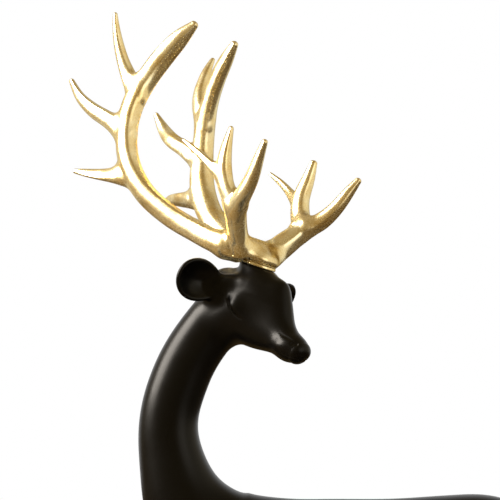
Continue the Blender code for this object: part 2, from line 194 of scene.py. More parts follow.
# Place and turn of the head frame, whose origin is the middle of the antler saddle
HEAD_PLACE = (-65.2, -11.3, 429.4)
HEAD_YAW = math.radians(-39.3)
HEAD_ROLL = math.radians(7.45)

# Levels, radii and slopes of the sole, the crown boss and the antlers' foot, and the strides
SOLE_LEVEL = 12.3
SEAT_LEVEL = -6.2
SEAT_GAP = 0.3
SEAT_RADIUS = 13.4
SEAT_SLOPE = 0.34
BOSS_REACH = 16.0
BOSS_LEAN = 0.32
BOSS_FLARE = 0.14
COLLAR_RADIUS = 13.8
COLLAR_HEIGHT = 3.2
SEAM_WIDTH = 0.55
SEAM_DEPTH = 1.5
SEAM_REACH = 3.0
PLUG_RADIUS = 16.5
HUB_LEVEL = 7.4
HUB_RADII = (16.2, 15.2, 8.4)
FORE_STRIDE = 22.0
HIND_STRIDE = 18.0

# Neck and trunk along the middle plane: ahead/back, height, half width, half depth
TRUNK = (
    (-82.0, 406.0, 16.0, 18.0),
    (-93.5, 387.5, 19.6, 21.2),
    (-107.0, 370.5, 20.4, 21.4),
    (-119.0, 351.5, 20.6, 21.6),
    (-125.5, 335.5, 20.8, 22.0),
    (-131.0, 318.5, 20.8, 21.8),
    (-133.0, 301.5, 21.0, 22.2),
    (-129.5, 277.0, 23.0, 24.6),
    (-118.5, 245.0, 27.6, 32.2),
    (-92.0, 218.0, 31.0, 40.2),
    (-49.0, 212.0, 31.0, 38.4),
    (-4.0, 213.5, 30.0, 36.4),
    (41.0, 216.5, 28.0, 33.6),
    (79.0, 219.5, 28.4, 33.0),
    (109.0, 219.0, 29.0, 33.6),
    (130.0, 214.0, 24.0, 27.6),
    (142.0, 208.0, 14.0, 16.0),
)

# Legs from the trunk down: ahead/back, out from the middle, height, half across, half along
FORE_LEG = (
    (-90.0, 12.0, 216.0, 11.0, 20.0),
    (-90.0, 16.0, 186.0, 13.6, 20.0),
    (-93.0, 17.0, 160.0, 9.0, 11.6),
    (-94.0, 17.0, 130.0, 7.2, 8.4),
    (-94.0, 17.5, 108.0, 6.8, 7.4),
    (-93.5, 17.5, 98.0, 7.2, 8.0),
    (-94.5, 17.5, 87.0, 5.6, 6.0),
    (-96.5, 17.5, 58.0, 5.2, 5.6),
    (-96.5, 18.0, 36.5, 6.4, 6.8),
    (-99.5, 18.0, 26.0, 5.6, 5.8),
    (-102.0, 18.0, 20.0, 7.0, 7.6),
    (-105.0, 18.0, 11.0, 8.4, 9.8),
)
HIND_LEG = (
    (106.0, 9.0, 220.0, 10.0, 20.0),
    (101.0, 13.6, 186.0, 15.6, 27.0),
    (108.0, 16.5, 148.0, 10.4, 16.0),
    (121.0, 17.0, 122.0, 7.8, 9.6),
    (130.5, 17.0, 104.0, 7.4, 8.8),
    (129.0, 17.5, 91.0, 6.4, 7.0),
    (124.5, 17.5, 62.0, 5.8, 6.0),
    (121.5, 18.0, 38.0, 6.8, 7.2),
    (117.0, 18.0, 26.0, 6.0, 6.2),
    (114.5, 18.0, 19.5, 7.2, 7.8),
    (111.0, 18.0, 11.0, 8.4, 9.8),
)
TAIL = (
    (130.0, 234.0, 9.0, 8.0),
    (142.6, 228.0, 8.4, 6.4),
    (151.2, 214.0, 7.6, 5.6),
    (155.0, 199.0, 5.0, 4.2),
    (155.4, 188.4, 2.2, 2.0),
)

# Head in its own frame: ahead, up, half width, height above, depth below
HEAD = (
    (-29.0, -21.5, 16.0, 12.4, 18.0),
    (-16.0, -29.5, 21.6, 20.4, 29.1),
    (-5.0, -36.5, 23.6, 29.0, 29.6),
    (4.0, -42.5, 20.6, 32.0, 26.6),
    (12.5, -48.5, 16.6, 32.0, 23.0),
    (22.5, -55.0, 13.4, 21.5, 18.2),
    (30.0, -60.0, 11.4, 12.4, 14.8),
    (37.0, -65.0, 11.4, 9.4, 14.0),
    (42.5, -68.5, 11.2, 9.0, 12.6),
    (46.0, -71.0, 9.8, 7.8, 10.2),
)

# Exponent of the skull's section above its axis: two is an oval, less is a roof
SKULL_POWER = 1.8

# Ears: a shallow bowl on a short stalk. Middle, way to the tip and facing in the head frame
NEAR_EAR_MIDDLE = (40.0, -20.6, -23.4)
NEAR_EAR_TIP = (0.97, -0.24, 0.1)
NEAR_EAR_FACING = (0.25, 0.92, -0.29)
NEAR_EAR_STALK = (
    (12.0, -6.0, -27.0, 12.0, 8.0),
    (20.0, -14.5, -27.0, 11.6, 7.4),
    (26.0, -24.0, -26.0, 8.4, 4.4),
)
FAR_EAR_MIDDLE = (-44.5, -11.0, -23.0)
FAR_EAR_TIP = (-0.99, 0.05, 0.1)
FAR_EAR_FACING = (-0.1, 0.85, -0.5)
FAR_EAR_SIZE = 0.85
FAR_EAR_STALK = (
    (-10.0, -10.0, -28.0, 10.0, 9.0),
    (-21.0, -12.5, -26.5, 8.4, 6.6),
    (-30.0, -13.0, -25.0, 6.6, 4.4),
)
EAR_LENGTH = 18.4
EAR_BREADTH = 14.2
EAR_EGG = 0.12
EAR_DEPTH = 7.5
EAR_WALL = 3.4

# One antler: to the right, ahead, up, half breadth seen from inside, half breadth from outside
SADDLE = (
    (0.0, -1.5, 5.5, 8.0, 8.0),
    (9.0, -2.5, 5.5, 8.6, 8.6),
    (17.0, -6.0, 5.5, 9.0, 9.0),
    (22.0, -14.0, 6.5, 9.4, 9.0),
)
BEAM = (
    (17.0, -6.0, 4.5, 9.2, 9.2),
    (22.5, -16.0, 7.0, 9.4, 9.0),
    (28.0, -41.0, 18.0, 9.2, 8.4),
    (33.5, -65.0, 31.0, 10.0, 8.0),
    (40.0, -89.5, 51.5, 10.4, 8.0),
    (44.0, -103.0, 74.5, 10.0, 8.0),
    (45.5, -107.0, 100.5, 8.8, 8.0),
    (43.0, -105.0, 123.0, 8.2, 8.4),
    (38.0, -98.5, 142.0, 7.2, 8.2),
    (32.0, -85.5, 164.0, 6.4, 8.0),
    (28.0, -73.5, 178.0, 5.2, 6.4),
    (25.0, -64.5, 187.0, 2.8, 3.0),
)
BROW_STEM = (
    (15.0, -2.0, 2.6, 8.4, 8.0),
    (20.5, -2.0, 7.5, 9.0, 7.4),
    (27.0, 0.5, 14.5, 9.2, 7.2),
    (37.0, 6.0, 25.0, 8.0, 7.6),
    (41.0, 9.0, 31.5, 7.6, 7.4),
)
FRONT_TINE = (
    (39.5, 6.5, 29.0, 7.6, 7.4),
    (46.5, 19.0, 35.5, 6.8, 6.0),
    (51.0, 30.0, 46.0, 5.4, 4.8),
    (55.5, 39.5, 61.0, 4.0, 3.2),
    (58.2, 45.4, 69.9, 2.2, 1.8),
)
TALL_TINE = (
    (40.5, 9.0, 31.0, 7.8, 7.4),
    (44.0, 3.0, 40.0, 7.4, 6.0),
    (47.0, -0.5, 56.5, 6.4, 5.6),
    (50.0, 2.5, 71.0, 5.0, 4.0),
    (51.0, 6.5, 86.0, 2.6, 1.6),
)
SMALL_TINE = (
    (45.5, 0.5, 49.0, 2.6, 2.6),
    (47.5, -5.5, 55.5, 4.8, 4.6),
    (49.5, -12.5, 62.0, 3.4, 3.2),
    (52.0, -25.0, 72.5, 2.4, 2.4),
    (53.0, -38.5, 82.0, 1.2, 0.8),
)
LOW_TINE = (
    (42.0, -97.0, 62.5, 3.0, 3.0),
    (43.5, -108.0, 63.5, 7.4, 8.6),
    (44.5, -119.0, 64.5, 5.4, 7.2),
    (46.0, -132.5, 66.0, 3.4, 5.8),
    (50.5, -145.0, 67.5, 2.4, 3.8),
    (54.1, -151.8, 68.4, 1.6, 1.8),
)
BACK_TINE = (
    (45.0, -104.5, 92.0, 3.0, 3.0),
    (45.5, -115.0, 102.0, 8.6, 7.4),
    (46.0, -127.5, 110.0, 7.6, 6.4),
    (47.5, -146.0, 120.5, 6.8, 5.4),
    (50.5, -158.5, 131.0, 5.4, 3.8),
    (51.0, -171.4, 147.4, 2.0, 1.8),
)
HIGH_TINE = (
    (41.5, -102.5, 123.0, 3.0, 3.0),
    (41.5, -107.5, 134.0, 6.6, 6.6),
    (42.5, -112.5, 143.5, 6.0, 6.2),
    (46.5, -118.0, 157.5, 5.0, 4.6),
    (51.5, -120.0, 171.0, 4.2, 3.6),
    (56.5, -120.0, 184.0, 3.2, 2.4),
    (60.0, -118.7, 193.2, 1.6, 1.4),
)

# Fold down the outer side of the brow stem
STEM_FOLD = (
    (27.5, -3.4, 16.0),
    (26.5, -4.0, 10.0),
    (24.5, -4.2, 4.0),
    (22.0, -4.0, -3.0),
)

# Turn of an antler limb's oval about its path, and the oval's exponent
ANTLER_TWIST = math.radians(45.0)
ANTLER_POWER = 1.6

# Carving of the face, on the right side of the head: to the right, ahead, up
LASH_LINE = (
    (23.3, -6.8, -34.2),
    (23.2, -6.0, -37.8),
    (22.8, -4.6, -41.6),
    (22.0, -2.2, -45.0),
    (20.8, 1.0, -47.8),
    (19.6, 4.4, -49.6),
)
EYE_MIDDLE = (22.0, 0.0, -39.4)
BROW_MIDDLE = (22.0, 1.0, -20.0)
BROW_RADII = (10.0, 9.0, 6.0)
BROW_HEIGHT = 1.1
NASAL_FOLD = (
    (12.6, 31.0, -54.0),
    (11.8, 34.2, -57.4),
    (10.9, 38.4, -60.6),
    (9.6, 42.8, -62.8),
    (8.9, 46.4, -64.6),
)
LIP_MIDDLE = (12.0, 35.5, -68.0)
LIP_RADII = (8.0, 8.0, 5.5)
LIP_HEIGHT = 1.8
NOSTRIL_LINE = (
    (8.9, 45.4, -67.8),
    (9.2, 46.4, -66.6),
    (8.3, 47.9, -66.2),
    (6.8, 49.2, -67.0),
)
MOUTH_LINE = (
    (10.6, 31.0, -71.0),
    (10.4, 35.5, -72.6),
    (9.4, 40.2, -74.4),
    (7.6, 44.6, -75.8),
    (4.4, 48.4, -76.4),
    (0.0, 50.2, -76.6),
)


def smooth_rows(stations, count, softness=0):
    """Cubic Hermite curve through the station rows, sampled evenly along their length.

    Softness is how often each sample then moves halfway to the mean of its two neighbours.
    """
    rows = np.array(stations, dtype=float)
    gaps = np.linalg.norm(np.diff(rows[:, :3], axis=0), axis=1)
    reach = np.concatenate(([0.0], np.cumsum(gaps)))
    slopes = np.gradient(rows, reach, axis=0)
    at = np.linspace(0.0, reach[-1], count)
    index = np.clip(np.searchsorted(reach, at, side="right") - 1, 0, len(gaps) - 1)
    length = gaps[index][:, None]
    share = (at - reach[index])[:, None] / length
    value = (2 * share**3 - 3 * share**2 + 1) * rows[index]
    value = value + (3 * share**2 - 2 * share**3) * rows[index + 1]
    value = value + (share**3 - 2 * share**2 + share) * length * slopes[index]
    value = value + (share**3 - share**2) * length * slopes[index + 1]
    for _ in range(softness):
        value[1:-1] = value[1:-1] / 2 + (value[:-2] + value[2:]) / 4
    return value


def unit(vectors):
    """Each row divided by its length."""
    return vectors / np.maximum(np.linalg.norm(vectors, axis=-1, keepdims=True), 1e-9)


def round_angles(sides):
    """Angles once round, evenly spaced."""
    return np.linspace(0.0, 2.0 * math.pi, sides, endpoint=False)


def ramp(values, ends):
    """Rises evenly from zero at the first end to one at the second."""
    return np.clip((values - ends[0]) / (ends[1] - ends[0]), 0.0, 1.0)


def head_turn():
    """Rows are the head's right, ahead and up directions in the world frame."""
    ahead = np.array((math.cos(HEAD_YAW), math.sin(HEAD_YAW), 0.0))
    level = np.array((math.sin(HEAD_YAW), -math.cos(HEAD_YAW), 0.0))
    upright = np.array((0.0, 0.0, 1.0))
    right = level * math.cos(HEAD_ROLL) + upright * math.sin(HEAD_ROLL)
    up = upright * math.cos(HEAD_ROLL) - level * math.sin(HEAD_ROLL)
    return np.stack((right, ahead, up))


def to_head(points):
    """World millimetres to the head frame: the offset measured along its three directions."""
    return (points - np.array(HEAD_PLACE)) @ head_turn().T


def from_head(points):
    """Head frame to world millimetres: the three directions weighted and added to the place."""
    return points @ head_turn() + np.array(HEAD_PLACE)


def limb(stations, side, step=1.4, twist=0.0, power=2.0, low_power=None, dome=0.8, soft=0.0, rows=None):
    """A limb: a smooth path with two half widths, carried on a frame that keeps facing side.

    The tangent is the path's slope, the wide axis is side less its part along the tangent,
    and the deep axis is their cross product, both turned about the path by the twist. Power
    is the exponent of the section's oval, two for a true one, with its own value below.
    """
    if rows is None:
        table = np.array(stations, dtype=float)
        length = np.linalg.norm(np.diff(table[:, :3], axis=0), axis=1).sum()
        rows = smooth_rows(stations, max(int(length / step), 8), int(2 * (soft / step) ** 2))
    path = rows[:, :3]
    tangent = unit(np.gradient(path, axis=0))
    facing = np.array(side, dtype=float)[None]
    across = unit(facing - tangent * (tangent @ facing[0])[:, None])
    third = np.cross(tangent, across)
    wide = math.cos(twist) * across + math.sin(twist) * third
    deep = math.cos(twist) * third - math.sin(twist) * across
    above = rows[:, 4]
    below = rows[:, 5] if rows.shape[1] > 5 else above
    shape = {"path": path, "tangent": tangent, "wide": wide, "deep": deep}
    shape.update({"half": rows[:, 3], "above": above, "below": below, "power": power, "dome": dome})
    shape["low_power"] = low_power or power
    shape["low"] = path.min(axis=0) - rows[:, 3:].max()
    shape["high"] = path.max(axis=0) + rows[:, 3:].max()
    return shape


def limb_skin(shape, sides=20):
    """Closed tube on a limb: oval rings by length and angle, with three more for each dome."""
    turns = np.radians((25.0, 50.0, 72.0))
    count = len(shape["path"])
    index = np.concatenate((np.zeros(3, int), np.arange(count), np.full(3, count - 1)))
    shrink = np.concatenate((np.cos(turns[::-1]), np.ones(count), np.cos(turns)))
    push = np.concatenate((-np.sin(turns[::-1]), np.zeros(count), np.sin(turns)))
    size = (shape["half"] + shape["above"])[index] / 2 * shape["dome"]
    path = shape["path"][index] + shape["tangent"][index] * (push * size)[:, None]
    angle = round_angles(sides)
    cosine = np.sign(np.cos(angle)) * np.abs(np.cos(angle)) ** (2.0 / shape["power"])
    sine = np.sign(np.sin(angle)) * np.abs(np.sin(angle)) ** (2.0 / shape["power"])
    flat = (shape["half"][index] * shrink)[:, None] * cosine
    height = np.where(sine > 0.0, shape["above"][index][:, None], shape["below"][index][:, None])
    tall = height * shrink[:, None] * sine
    rings = path[:, None] + shape["wide"][index][:, None] * flat[:, :, None]
    return tube(rings + shape["deep"][index][:, None] * tall[:, :, None])


def tube(rings):
    """Points and faces of rings joined by quads, with a fan of triangles at each end."""
    count, sides, _ = rings.shape
    ends = np.stack((rings[0].mean(axis=0), rings[-1].mean(axis=0)))
    points = np.vstack((rings.reshape(-1, 3), ends))
    low = np.arange(count - 1)[:, None] * sides
    side = np.arange(sides)[None]
    following = (side + 1) % sides
    quads = np.stack((low + side, low + following, low + sides + following, low + sides + side), axis=-1)
    first = np.stack((np.full(sides, count * sides), following[0], side[0]), axis=-1)
    top = (count - 1) * sides
    last = np.stack((np.full(sides, count * sides + 1), top + side[0], top + following[0]), axis=-1)
    return points, quads.reshape(-1, 4), np.vstack((first, last))


def disc(radius, low, high, sides=48):
    """A round slug: the circle of that radius at the low and the high level."""
    angle = round_angles(sides)
    circle = np.stack((radius * np.cos(angle), radius * np.sin(angle), np.zeros(sides)), axis=-1)
    return tube(np.stack([circle + np.array((0.0, 0.0, level)) for level in (low, (low + high) / 2, high)]))


def limb_field(points, shape):
    """Signed distance, near enough, from points to a limb.

    Each point goes to its nearest place on the path. The oval's equation there, with the
    overshoot past an end as a third term, gives how far out the point is as a share of the
    surface, and the offset's length times one less the share's inverse is the distance.
    """
    field = np.full(len(points), FAR_AWAY)
    inside = np.all((points > shape["low"] - LIMB_REACH) & (points < shape["high"] + LIMB_REACH), axis=1)
    index = np.flatnonzero(inside)
    if len(index) == 0:
        return field
    path = shape["path"]
    squares = (path**2).sum(axis=1)
    nearest = np.empty(len(index), int)
    for start in range(0, len(index), CHUNK):
        part = points[index[start:start + CHUNK]]
        nearest[start:start + CHUNK] = np.argmin(squares - 2.0 * (part @ path.T), axis=1)
    own = points[index]
    step = np.linalg.norm(path[-1] - path[-2])
    step = np.append(np.linalg.norm(np.diff(path, axis=0), axis=1), step)
    offset = ((own - path[nearest]) * shape["tangent"][nearest]).sum(axis=1)
    spot = np.clip(nearest + offset / step[nearest], 0.0, len(path) - 1.0)

    def between(values):
        lower = np.minimum(spot.astype(int), len(path) - 2)
        weight = spot - lower if values.ndim == 1 else (spot - lower)[:, None]
        return values[lower] * (1.0 - weight) + values[lower + 1] * weight

    offset = ((own - between(path)) * between(shape["tangent"])).sum(axis=1)
    spot = np.clip(spot + offset / step[nearest], 0.0, len(path) - 1.0)
    delta = own - between(path)
    axes = [between(shape[name]) for name in ("wide", "deep", "tangent")]
    flat, tall, along = ((delta * axis).sum(axis=1) for axis in axes)
    along = np.where((spot <= 0.0) | (spot >= len(path) - 1.0), along, 0.0)
    half = between(shape["half"])
    above = between(shape["above"])
    height = np.where(tall > 0.0, above, between(shape["below"]))
    power = np.where(tall > 0.0, shape["power"], shape["low_power"])
    ring = (np.abs(flat / half) ** power + np.abs(tall / height) ** power) ** (2.0 / power)
    out = np.sqrt(ring + (along / ((half + above) / 2 * shape["dome"])) ** 2)
    length = np.sqrt(flat**2 + tall**2 + along**2)
    field[index] = length - length / np.maximum(out, 1e-6)
    return field


def blend(first, second, reach):
    """Smooth union: the lesser of two fields, lowered where they differ by less than reach."""
    close = np.maximum(reach - np.abs(first - second), 0.0) / reach
    return np.minimum(first, second) - close**2 * reach / 4.0


def cut(field, cutter, reach):
    """Smooth intersection: the greater of two fields, raised where they are close."""
    return -blend(-field, -cutter, reach)


def line_offset(points, line, reach=6.0, side=1.0):
    """Distance to a smooth line, the share of its length there, and the nearest sample.

    The sideways part of the distance counts by the side factor. Points further off than
    reach get a distance of FAR_AWAY.
    """
    rows = smooth_rows(line, 60)
    distance = np.full(len(points), FAR_AWAY)
    share = np.zeros(len(points))
    nearest = np.zeros(len(points), int)
    inside = np.all((points > rows.min(axis=0) - reach) & (points < rows.max(axis=0) + reach), axis=1)
    index = np.flatnonzero(inside)
    if len(index):
        gaps = (((points[index][:, None] - rows[None]) * (side, 1.0, 1.0)) ** 2).sum(axis=2)
        nearest[index] = gaps.argmin(axis=1)
        distance[index] = np.sqrt(gaps.min(axis=1))
        share[index] = nearest[index] / (len(rows) - 1)
    return distance, share, nearest, rows


def groove(points, line, depth, width, start, end, side=1.0):
    """A carved line: a bell-shaped hollow about a smooth line, fading in and out at its ends."""
    distance, share, _, _ = line_offset(points, line, side=side)
    fade = np.clip(share / start, 0.0, 1.0) * np.clip((1.0 - share) / end, 0.0, 1.0)
    return -depth * np.exp(-((distance / width) ** 2)) * np.sqrt(fade)


def swelling(points, middle, radii, height):
    """A bump: height times a bell of the offset from the middle, measured in the three radii."""
    offset = (points - np.array(middle)) / np.array(radii)
    return height * np.exp(-(offset**2).sum(axis=1))


def closed_eye(points):
    """The lid over the eyeball: a dome that ends at the lash line, with the carved line below it."""
    _, _, nearest, rows = line_offset(points, LASH_LINE, LID_REACH, LASH_CUT[-1])
    slope = unit(np.gradient(rows, axis=0))[:, 1:]
    normal = np.stack((-slope[:, 1], slope[:, 0]), axis=1)
    towards = np.array(EYE_MIDDLE)[1:] - rows[:, 1:]
    normal = normal * np.sign((normal * towards).sum(axis=1))[:, None]
    inward = ((points[:, 1:] - rows[nearest][:, 1:]) * normal[nearest]).sum(axis=1)
    rise = np.clip((inward + LID_EDGE) / LID_SLOPE, 0.0, 1.0)
    rise = rise * rise * (3.0 - 2.0 * rise)
    lid = swelling(points, EYE_MIDDLE, LID_RADII, LID_HEIGHT) * rise
    return lid + groove(points, LASH_LINE, *LASH_CUT)


def face_relief(own):
    """Height of the carving over the plain head, the same on both sides."""
    folded = own.copy()
    folded[:, 0] = np.abs(folded[:, 0])
    face = np.zeros(len(own))
    index = np.flatnonzero(np.all(np.abs(own - np.array(FACE_MIDDLE)) < FACE_REACH, axis=1))
    near = folded[index]
    height = closed_eye(near) + swelling(near, BROW_MIDDLE, BROW_RADII, BROW_HEIGHT)
    height += groove(near, NASAL_FOLD, *NASAL_CUT)
    height += swelling(near, LIP_MIDDLE, LIP_RADII, LIP_HEIGHT)
    height += groove(near, NOSTRIL_LINE, *NOSTRIL_CUT)
    height += groove(near, MOUTH_LINE, *MOUTH_CUT)
    face[index] = height
    return face


def ear_shape(middle, tip, facing, stalk, size=1.0):
    """An ear's bowl in directions of its own (to the tip, across, facing) and the stalk under it."""
    ahead = unit(np.array(facing, dtype=float))
    along = np.array(tip, dtype=float)
    along = unit(along - ahead * (along @ ahead))
    turn = np.stack((along, np.cross(ahead, along), ahead))
    stem = limb(stalk, facing, twist=math.pi / 2, dome=0.6)
    return {"middle": np.array(middle), "turn": turn, "size": size, "stalk": stem}


def ear_rim(angle):
    """Radius of the bowl's rim: an oval, broader on the tip's side, by the angle from the tip."""
    across = EAR_BREADTH * (1.0 + EAR_EGG * np.cos(angle))
    return 1.0 / np.sqrt((np.cos(angle) / EAR_LENGTH) ** 2 + (np.sin(angle) / across) ** 2)


def ball_skin(middle, radii, sides=32):
    """Closed skin of an ellipsoid: circles by height, each the cosine of its own rise wide."""
    rise = np.linspace(-1.45, 1.45, 16)[:, None]
    angle = round_angles(sides)
    wide = np.cos(rise)
    ball = np.stack((wide * np.cos(angle), wide * np.sin(angle), np.sin(rise) + 0.0 * angle), axis=-1)
    return tube(ball * np.array(radii) + np.array(middle))


def bowl_field(points, ear):
    """Distance to the bowl's middle surface less half its wall, so that its rim is round.

    The middle surface is a paraboloid: depth times (share squared less one), the share being
    that of the rim's radius. Newton steps find the nearest share in the point's own half plane.
    """
    local = (points - ear["middle"]) @ ear["turn"].T / ear["size"]
    field = np.full(len(points), FAR_AWAY)
    index = np.flatnonzero(np.linalg.norm(local, axis=1) < EAR_LENGTH + LIMB_REACH)
    flat = np.hypot(local[index, 0], local[index, 1])
    height = local[index, 2]
    rim = ear_rim(np.arctan2(local[index, 1], local[index, 0]))
    share = np.clip(flat / rim, 0.0, 1.0)
    for _ in range(5):
        over = height - EAR_DEPTH * (share**2 - 1.0)
        slope = 2.0 * EAR_DEPTH * share
        pull = -rim * (flat - share * rim) - over * slope
        bend = rim**2 + slope**2 - 2.0 * EAR_DEPTH * over
        share = np.clip(share - pull / np.maximum(bend, rim**2 / 2.0), 0.0, 1.0)
    over = height - EAR_DEPTH * (share**2 - 1.0)
    field[index] = (np.hypot(flat - share * rim, over) - EAR_WALL / 2.0) * ear["size"]
    return field


def bowl_skin(ear, sides=48):
    """Closed skin of the bowl: its inside, a half round over the rim, and its outside."""
    share = np.linspace(0.1, 1.0, 12)
    round_rim = np.linspace(0.0, math.pi, 7)[1:-1]
    angle = round_angles(sides)
    rim = ear_rim(angle)
    slope = np.arctan2(2.0 * EAR_DEPTH, EAR_LENGTH)
    rings = []
    parts = np.concatenate((share, np.ones(len(round_rim)), share[::-1]))
    leans = np.concatenate((0.0 * share, round_rim, 0.0 * share + math.pi))
    for part, lean in zip(parts, leans):
        turn = math.pi / 2 + slope * part - lean
        out = part * rim + EAR_WALL / 2.0 * math.cos(turn)
        up = EAR_DEPTH * (part**2 - 1.0) + EAR_WALL / 2.0 * math.sin(turn)
        rings.append(np.stack((out * np.cos(angle), out * np.sin(angle), np.full(sides, up)), axis=-1))
    return tube(np.stack(rings) * ear["size"] @ ear["turn"] + ear["middle"])


def leg_rows(stations, hand, stride):
    """Rows of a leg on one side, its lower part set forward or back by a share of the stride."""
    table = np.array(stations)
    share = (table[0, 2] - table[:, 2]) / (table[0, 2] - table[-1, 2])
    table[:, 0] += stride * share
    table[:, 1] *= hand
    return table


def middle_rows(stations):
    """Rows on the middle plane: a zero across is put between the place along and the height."""
    table = np.array(stations)
    return np.insert(table, 1, 0.0, axis=1)


def deer_limbs():
    """Every limb of the black casting, in the frame that it is described in."""
    side = (0.0, 1.0, 0.0)
    body = [limb(middle_rows(TRUNK), side, power=2.1, soft=9.0)]
    for hand in (-1.0, 1.0):
        body.append(limb(leg_rows(FORE_LEG, hand, hand * FORE_STRIDE / 2), side, dome=0.3, soft=3.0))
        body.append(limb(leg_rows(HIND_LEG, hand, hand * HIND_STRIDE / 2), side, dome=0.3, soft=3.0))
    body.append(limb(middle_rows(TAIL), side))
    skull_rows = np.insert(np.array(HEAD), 0, 0.0, axis=1)
    length = np.linalg.norm(np.diff(skull_rows[:, :3], axis=0), axis=1).sum()
    rows = smooth_rows(skull_rows, int(length / 0.7), 36)
    skull = limb(None, (-1.0, 0.0, 0.0), rows=rows, power=SKULL_POWER, low_power=2.0, dome=0.75)
    near_ear = ear_shape(NEAR_EAR_MIDDLE, NEAR_EAR_TIP, NEAR_EAR_FACING, NEAR_EAR_STALK)
    far_ear = ear_shape(FAR_EAR_MIDDLE, FAR_EAR_TIP, FAR_EAR_FACING, FAR_EAR_STALK, FAR_EAR_SIZE)
    return body, skull, (near_ear, far_ear)


def hoof_relief(points, body):
    """Cleft down the front of each hoof and the groove round its top edge."""
    height = np.zeros(len(points))
    low = np.flatnonzero(points[:, 2] < HOOF_LEVEL)
    own = points[low]
    relief = np.zeros(len(low))
    for leg in body[1:5]:
        offset = own - leg["path"][-1]
        near = np.hypot(offset[:, 0], offset[:, 1]) < HOOF_REACH
        deep = ramp(-offset[:, 0], CLEFT_FRONT) * ramp(HOOF_TOP - own[:, 2], CLEFT_FALL)
        relief -= near * CLEFT_DEPTH * deep * np.exp(-((offset[:, 1] / HOOF_LINE) ** 2))
        relief -= near * HOOF_GROOVE * np.exp(-(((own[:, 2] - HOOF_TOP) / HOOF_LINE) ** 2))
    height[low] = relief
    return height


def seat_height(own):
    """Height over the seat of the antlers, a plane through the crown that falls off ahead."""
    return (own[:, 2] - SEAT_LEVEL + SEAT_SLOPE * own[:, 1]) / math.hypot(1.0, SEAT_SLOPE)


def seat_plane(own, gap=0.0):
    """Level of the antlers' seat at each point's place, less a gap."""
    return SEAT_LEVEL - gap - SEAT_SLOPE * own[:, 1]


def deer_field(points, body, skull, ears):
    """Field of the black casting: smooth union of its limbs, less the carving, cut at crown and sole."""
    own = to_head(points)
    whole = limb_field(points, body[0])
    for leg in body[1:5]:
        whole = blend(whole, limb_field(points, leg), LEG_BLEND)
    whole = blend(whole, limb_field(points, body[5]), TAIL_BLEND)
    head = limb_field(own, skull)
    for ear in ears:
        spoon = blend(limb_field(own, ear["stalk"]), bowl_field(own, ear), STALK_BLEND)
        head = blend(head, spoon, EAR_BLEND)
    sunk = -seat_height(own)
    ring = np.hypot(own[:, 0], own[:, 1] - BOSS_LEAN * sunk) - SEAT_RADIUS - BOSS_FLARE * sunk
    boss = cut(ring, sunk - BOSS_REACH, BOSS_EDGE)
    head = blend(head, boss, BOSS_BLEND)
    whole = blend(whole, head, NECK_BLEND)
    whole = whole - face_relief(own) - hoof_relief(points, body)
    whole = cut(whole, seat_height(own) + SEAT_GAP, SEAT_EDGE)
    return cut(whole, SOLE_LEVEL - points[:, 2], SOLE_EDGE)


def antler_sheet(path):
    """The antler's own sheet at a limb: sideways place as a plane over ahead and up.

    Least squares over the path, with a row more for each slope that pulls it towards zero.
    """
    count = len(path)
    pull = np.diag((0.0, SHEET_PULL * count, SHEET_PULL * count))[1:]
    table = np.vstack((np.column_stack((np.ones(count), path[:, 1], path[:, 2])), pull))
    return np.linalg.lstsq(table, np.append(path[:, 0], (0.0, 0.0)), rcond=None)[0]


def antler_limbs():
    """Limbs of one antler with the reach of the web at each root and the sheet that it lies in."""
    across = (1.0, 0.0, 0.0)
    limbs = [(limb(SADDLE, (0.0, 0.0, 1.0)), 0.0, None)]
    for stations, reach in (
        (BEAM, 7.0),
        (BROW_STEM, 5.0),
        (FRONT_TINE, 7.0),
        (TALL_TINE, 7.0),
        (SMALL_TINE, 6.0),
        (LOW_TINE, 12.0),
        (BACK_TINE, 12.0),
        (HIGH_TINE, 9.0),
    ):
        shape = limb(stations, across, step=1.0, twist=ANTLER_TWIST, power=ANTLER_POWER, soft=4.0)
        half = shape["path"][: max(len(shape["path"]) // 2, 6)]
        limbs.append((shape, reach, antler_sheet(half)))
    return limbs


def antler_field(points, limbs):
    """Field of the gold casting: both antlers by folding the sideways axis, and their collar."""
    own = points.copy()
    own[:, 0] = np.sqrt(own[:, 0] ** 2 + MIRROR_SOFTNESS)
    whole = limb_field(own, limbs[0][0])
    for number, (shape, reach, sheet) in enumerate(limbs[1:]):
        if number >= FIRST_WEB:
            aside = own[:, 0] - sheet[0] - own[:, 1:] @ sheet[1:]
            reach = reach * np.clip(1.0 - (aside / WEB_THICKNESS) ** 2, WEB_LEAST, 1.0)
        if number >= FIRST_ROOT:
            ahead = (own - shape["path"][0]) @ shape["tangent"][0]
            reach = reach * np.clip(1.0 + ahead / ROOT_DEPTH, ROOT_LEAST, 1.0)
        whole = blend(whole, limb_field(own, shape), reach)
    whole = whole - ANTLER_SWELL - groove(own, STEM_FOLD, *STEM_CUT)
    seat = seat_height(points)
    offset = np.column_stack((points[:, :2], seat - HUB_LEVEL))
    out = np.linalg.norm(offset / np.array(HUB_RADII), axis=1)
    hub = np.linalg.norm(offset, axis=1) * (1.0 - 1.0 / np.maximum(out, 1e-6))
    whole = blend(whole, hub, HUB_BLEND)
    round_out = np.hypot(points[:, 0], points[:, 1])
    plug = np.maximum(round_out - PLUG_RADIUS, seat - COLLAR_HEIGHT)
    whole = cut(whole, -plug, PLUG_EDGE)
    band = np.abs(seat - COLLAR_HEIGHT / 2) - COLLAR_HEIGHT / 2
    collar = cut(round_out - COLLAR_RADIUS, band, COLLAR_EDGE)
    near = np.clip((PLUG_RADIUS + SEAM_REACH - round_out) / SEAM_REACH, 0.0, 1.0)
    seam = SEAM_DEPTH * near * np.exp(-(((seat - COLLAR_HEIGHT) / SEAM_WIDTH) ** 2))
    return np.minimum(whole, collar) + seam


